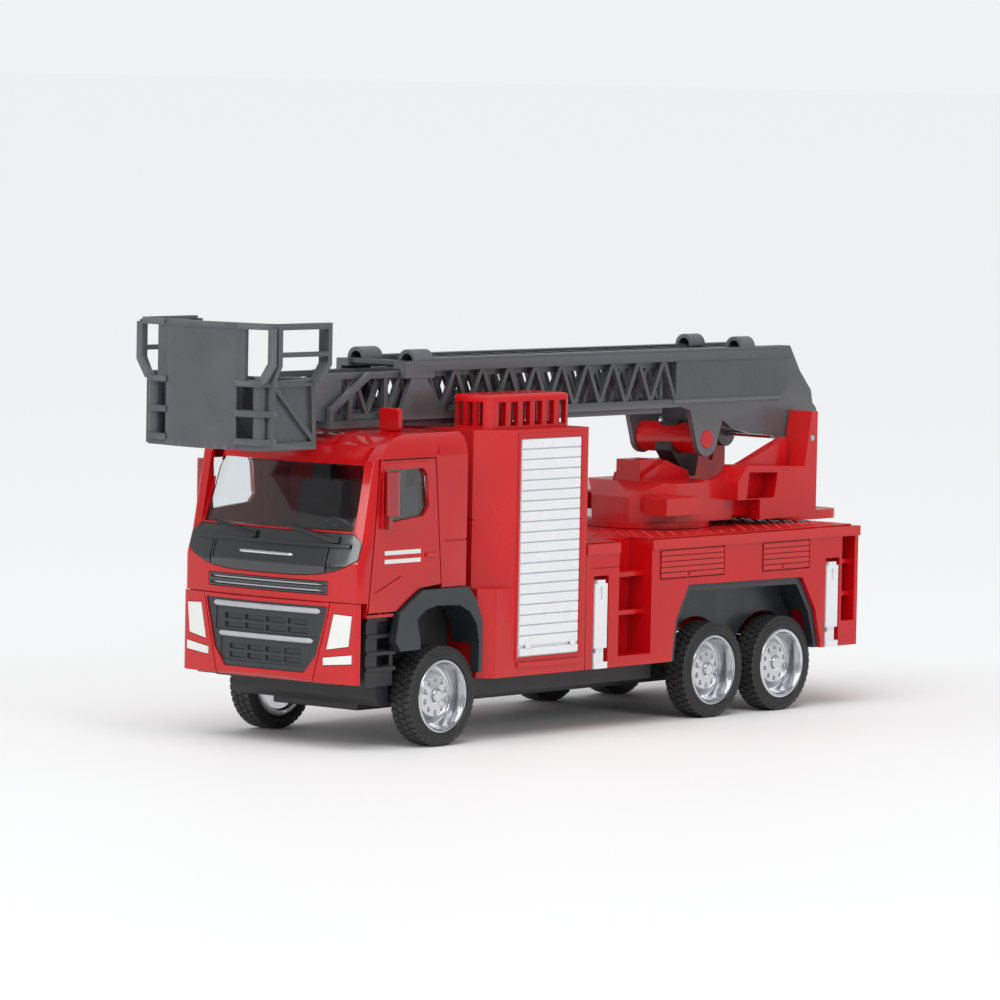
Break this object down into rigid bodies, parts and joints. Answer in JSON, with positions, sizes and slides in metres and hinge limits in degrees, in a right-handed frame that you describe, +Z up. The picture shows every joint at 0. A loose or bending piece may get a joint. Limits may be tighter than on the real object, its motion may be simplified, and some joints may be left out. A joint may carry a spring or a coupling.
{
  "type": "toy fire engine",
  "caption": "Small-scale toy fire engine with cab, tall equipment body, rear deck, turntable, telescoping ladder and bucket.",
  "frame": {"origin": "on the ground under the centre of the overall bounding box", "axes": "+Z up, front of the truck faces -Y, +X is the truck's left side"},
  "size_m": [0.0556, 0.2, 0.0895],
  "materials": {
    "red_paint": "glossy red enamel on die-cast zinc",
    "red_plastic": "glossy red moulded plastic",
    "black_plastic": "satin black plastic",
    "black_gloss": "high gloss black plastic",
    "slate_plastic": "satin slate-grey plastic",
    "grey_plastic": "semi-gloss mid-dark grey plastic",
    "white_plastic": "glossy white plastic",
    "lamp_white": "white painted lamp",
    "glazing": "clear polystyrene",
    "chrome": "vacuum-metallised chrome",
    "steel": "bright steel",
    "tyre": "matt black rubber"
  },
  "bodies": {
    "truck": {"chassis_base": "black_plastic", "chassis_screws": "steel", "cab_shell": "red_paint", "windscreen": "glazing", "cab_interior": "black_plastic", "steering_wheel": "black_plastic", "front_panel": "black_gloss", "wipers": "black_plastic", "upper_grille": "black_gloss", "bumper": "red_paint", "main_grille": "slate_plastic", "headlights": "lamp_white", "fog_lights": "lamp_white", "cab_steps": "black_plastic", "front_fenders": "slate_plastic", "ladder_guide": "red_plastic", "pump_body": "red_plastic", "roof_cage": "red_plastic", "shutter_left": "white_plastic", "shutter_right": "white_plastic", "shutter_handles": "white_plastic", "rear_body": "red_plastic", "deck_plate": "red_plastic", "rear_fenders": "slate_plastic", "locker_shutters": "red_plastic", "turntable_pivot": "steel"},
    "front_wheels": {"front_axle": "steel", "rim_front_left": "chrome", "rim_front_right": "chrome", "tyre_front_left": "tyre", "tyre_front_right": "tyre"},
    "middle_wheels": {"middle_axle": "steel", "rim_middle_left": "chrome", "rim_middle_right": "chrome", "tyre_middle_left": "tyre", "tyre_middle_right": "tyre"},
    "rear_wheels": {"rear_axle": "steel", "rim_rear_left": "chrome", "rim_rear_right": "chrome", "tyre_rear_left": "tyre", "tyre_rear_right": "tyre"},
    "door_left": {"door_left": "red_paint", "door_glass_left": "glazing", "mirror_left": "red_paint"},
    "door_right": {"door_right": "red_paint", "door_glass_right": "glazing", "mirror_right": "red_paint"},
    "stabiliser_front_left": {"stabiliser_front_left": "white_plastic"},
    "stabiliser_front_right": {"stabiliser_front_right": "white_plastic"},
    "stabiliser_rear_left": {"stabiliser_rear_left": "white_plastic"},
    "stabiliser_rear_right": {"stabiliser_rear_right": "white_plastic"},
    "turntable": {"turntable": "red_plastic", "ladder_pivot_pin": "steel"},
    "ladder": {"ladder_base": "grey_plastic", "lift_cylinder": "red_plastic", "lift_arm": "black_plastic"},
    "middle_section": {"ladder_middle": "grey_plastic"},
    "fly_section": {"ladder_fly": "grey_plastic", "bucket_pin": "steel"},
    "bucket": {"bucket": "grey_plastic"}
  },
  "joints": [
    {"name": "front_wheels_spin", "type": "hinge", "parent": "truck", "child": "front_wheels", "pos_m": [0, -0.05, 0.0106], "axis": [1, 0, 0], "continuous": true},
    {"name": "middle_wheels_spin", "type": "hinge", "parent": "truck", "child": "middle_wheels", "pos_m": [0, 0.042, 0.0106], "axis": [1, 0, 0], "continuous": true},
    {"name": "rear_wheels_spin", "type": "hinge", "parent": "truck", "child": "rear_wheels", "pos_m": [0, 0.0667, 0.0106], "axis": [1, 0, 0], "continuous": true},
    {"name": "door_left_swing", "type": "hinge", "parent": "truck", "child": "door_left", "pos_m": [0.0244, -0.0694, 0.045], "axis": [0, 0, -1], "range_deg": [0, 60]},
    {"name": "door_right_swing", "type": "hinge", "parent": "truck", "child": "door_right", "pos_m": [-0.0244, -0.0694, 0.045], "axis": [0, 0, 1], "range_deg": [0, 60]},
    {"name": "turntable_slew", "type": "hinge", "parent": "truck", "child": "turntable", "pos_m": [0, 0.049, 0.041], "axis": [0, 0, 1], "range_deg": [-180, 0]},
    {"name": "ladder_raise", "type": "hinge", "parent": "turntable", "child": "ladder", "pos_m": [0, 0.0884, 0.06], "axis": [-1, 0, 0], "range_deg": [0, 60]},
    {"name": "middle_section_slide", "type": "slide", "parent": "ladder", "child": "middle_section", "axis": [0, -1, 0], "range_m": [0, 0.06]},
    {"name": "fly_section_slide", "type": "slide", "parent": "middle_section", "child": "fly_section", "axis": [0, -1, 0], "range_m": [0, 0.06]},
    {"name": "bucket_tilt", "type": "hinge", "parent": "fly_section", "child": "bucket", "pos_m": [0, -0.074, 0.0729], "axis": [1, 0, 0], "range_deg": [0, 45]},
    {"name": "stabiliser_front_left_slide", "type": "slide", "parent": "truck", "child": "stabiliser_front_left", "axis": [0, 0, -1], "range_m": [0, 0.0115]},
    {"name": "stabiliser_front_right_slide", "type": "slide", "parent": "truck", "child": "stabiliser_front_right", "axis": [0, 0, -1], "range_m": [0, 0.0115]},
    {"name": "stabiliser_rear_left_slide", "type": "slide", "parent": "truck", "child": "stabiliser_rear_left", "axis": [0, 0, -1], "range_m": [0, 0.0115]},
    {"name": "stabiliser_rear_right_slide", "type": "slide", "parent": "truck", "child": "stabiliser_rear_right", "axis": [0, 0, -1], "range_m": [0, 0.0115]}
  ]
}
